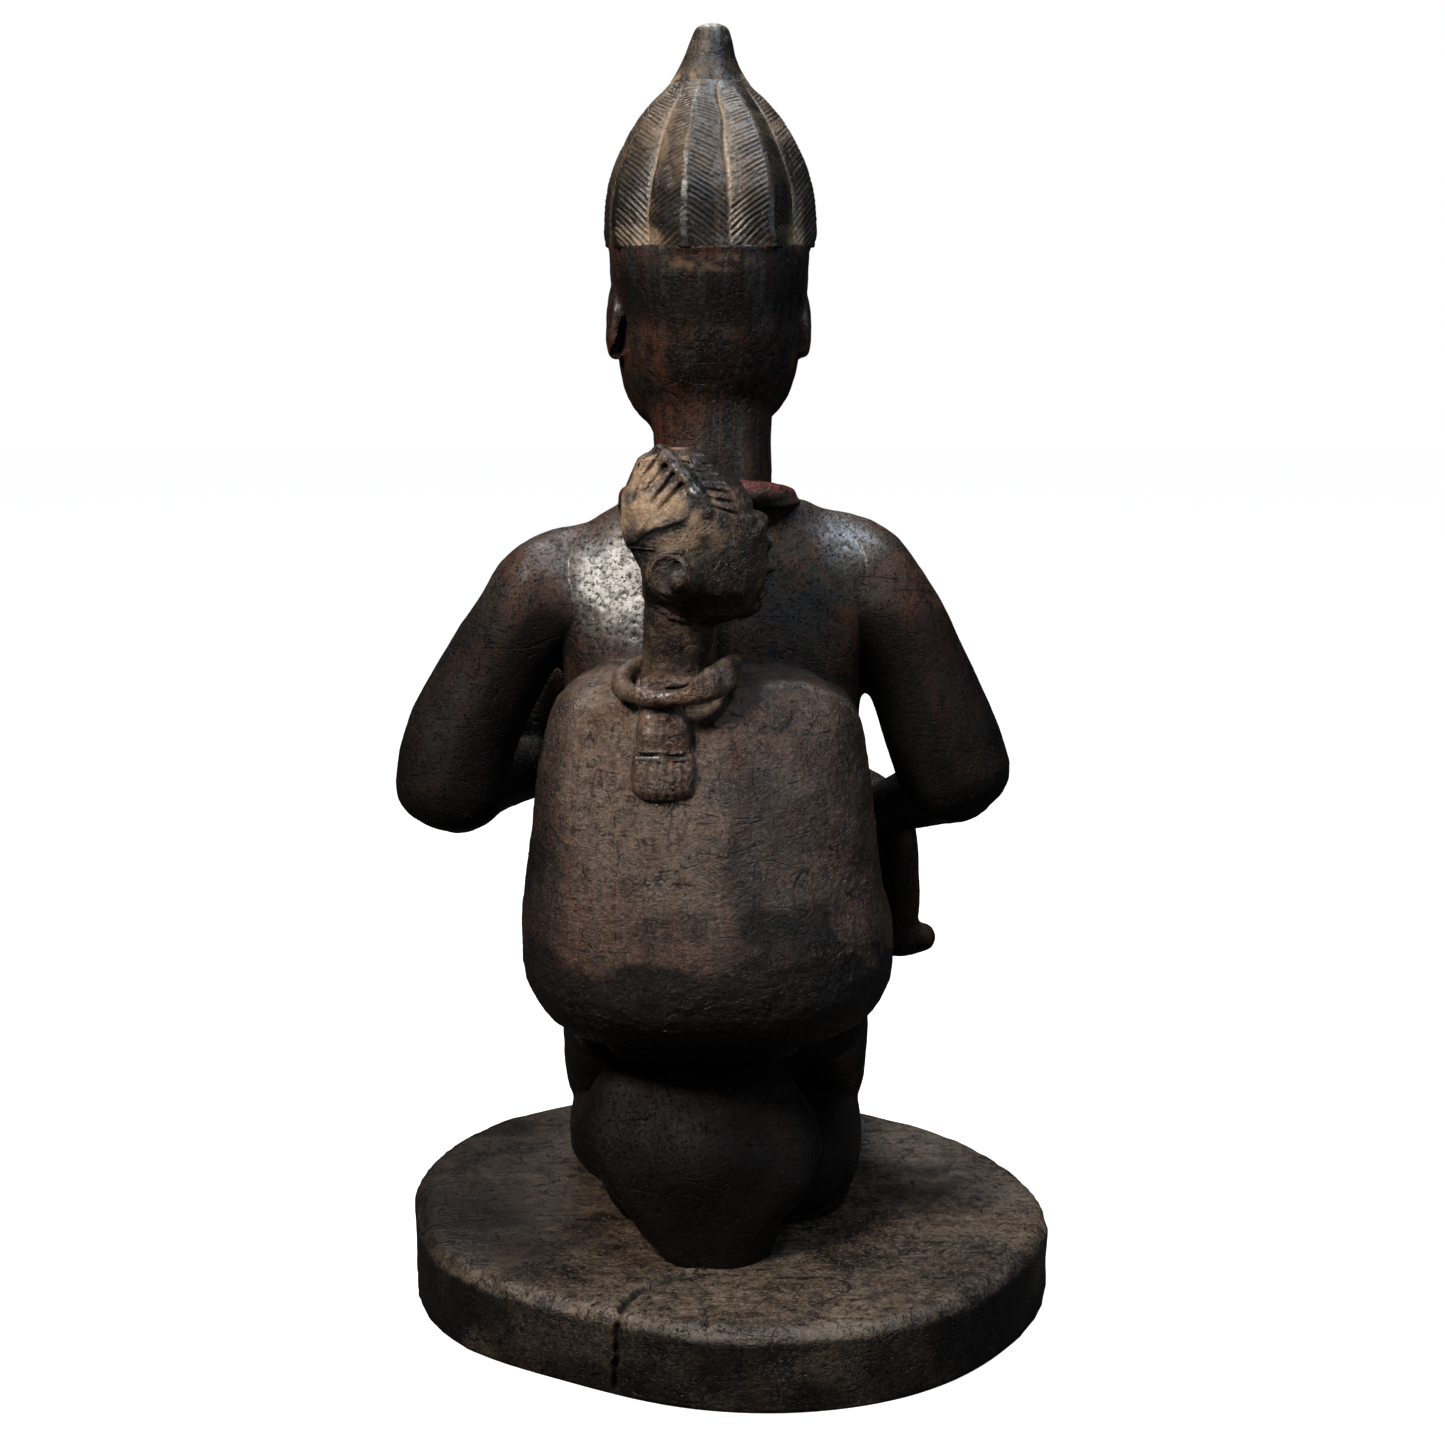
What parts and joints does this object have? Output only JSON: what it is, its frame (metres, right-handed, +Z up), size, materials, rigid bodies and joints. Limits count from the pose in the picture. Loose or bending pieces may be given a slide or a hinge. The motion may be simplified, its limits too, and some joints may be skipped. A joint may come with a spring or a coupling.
{
  "type": "carved ancestor figure",
  "caption": "Standing wood carving of a kneeling mother with a wrapped child on her back and a nursing child in her arms, on a round base.",
  "frame": {"origin": "centre of the base's underside, on the surface that the figure stands on", "axes": "+Z up; the mother faces -Y, so her left side is +X and the child on her back is towards +Y"},
  "size_m": [0.3655, 0.3641, 0.7],
  "materials": {
    "plinth_wood": "hand-cut, dry, worn brown on the top and dark on the edge",
    "dark_patinated_wood": "near-black handling patina, glossy on the high places, red-brown where rubbed",
    "worn_bundle_wood": "grey-brown, leathery, rubbed, with fine scratches",
    "brown_child_wood": "red-brown, worn",
    "dusted_hair_wood": "dark ridges with ochre dust in the cuts",
    "reddened_collar_wood": "dark wood with traces of a red pigment"
  },
  "bodies": {
    "root": {"base": "plinth_wood", "left_foot": "dark_patinated_wood", "right_foot": "dark_patinated_wood", "left_calf": "dark_patinated_wood", "right_calf": "dark_patinated_wood", "left_thigh": "dark_patinated_wood", "right_thigh": "dark_patinated_wood", "hips": "dark_patinated_wood", "torso": "dark_patinated_wood", "left_breast": "dark_patinated_wood", "right_breast": "dark_patinated_wood", "left_upper_arm": "dark_patinated_wood", "right_upper_arm": "dark_patinated_wood", "left_forearm": "dark_patinated_wood", "right_forearm": "dark_patinated_wood", "left_hand": "dark_patinated_wood", "right_hand": "dark_patinated_wood", "neck": "dark_patinated_wood", "necklace": "reddened_collar_wood", "head": "dark_patinated_wood", "nose": "dark_patinated_wood", "left_ear": "dark_patinated_wood", "right_ear": "dark_patinated_wood", "hair": "dusted_hair_wood", "hair_crest": "dusted_hair_wood", "back_bundle": "worn_bundle_wood", "child_neck": "brown_child_wood", "child_collar": "brown_child_wood", "pendant_bead": "brown_child_wood", "pendant_tassel": "brown_child_wood", "child_head": "brown_child_wood", "child_face": "brown_child_wood", "child_left_ear": "brown_child_wood", "child_right_ear": "brown_child_wood", "child_hair": "brown_child_wood", "nursling_body": "dark_patinated_wood", "nursling_head": "dark_patinated_wood", "nursling_arm": "dark_patinated_wood", "nursling_left_leg": "dark_patinated_wood", "nursling_right_leg": "dark_patinated_wood", "nursling_left_foot": "dark_patinated_wood", "nursling_right_foot": "dark_patinated_wood"}
  },
  "joints": []
}
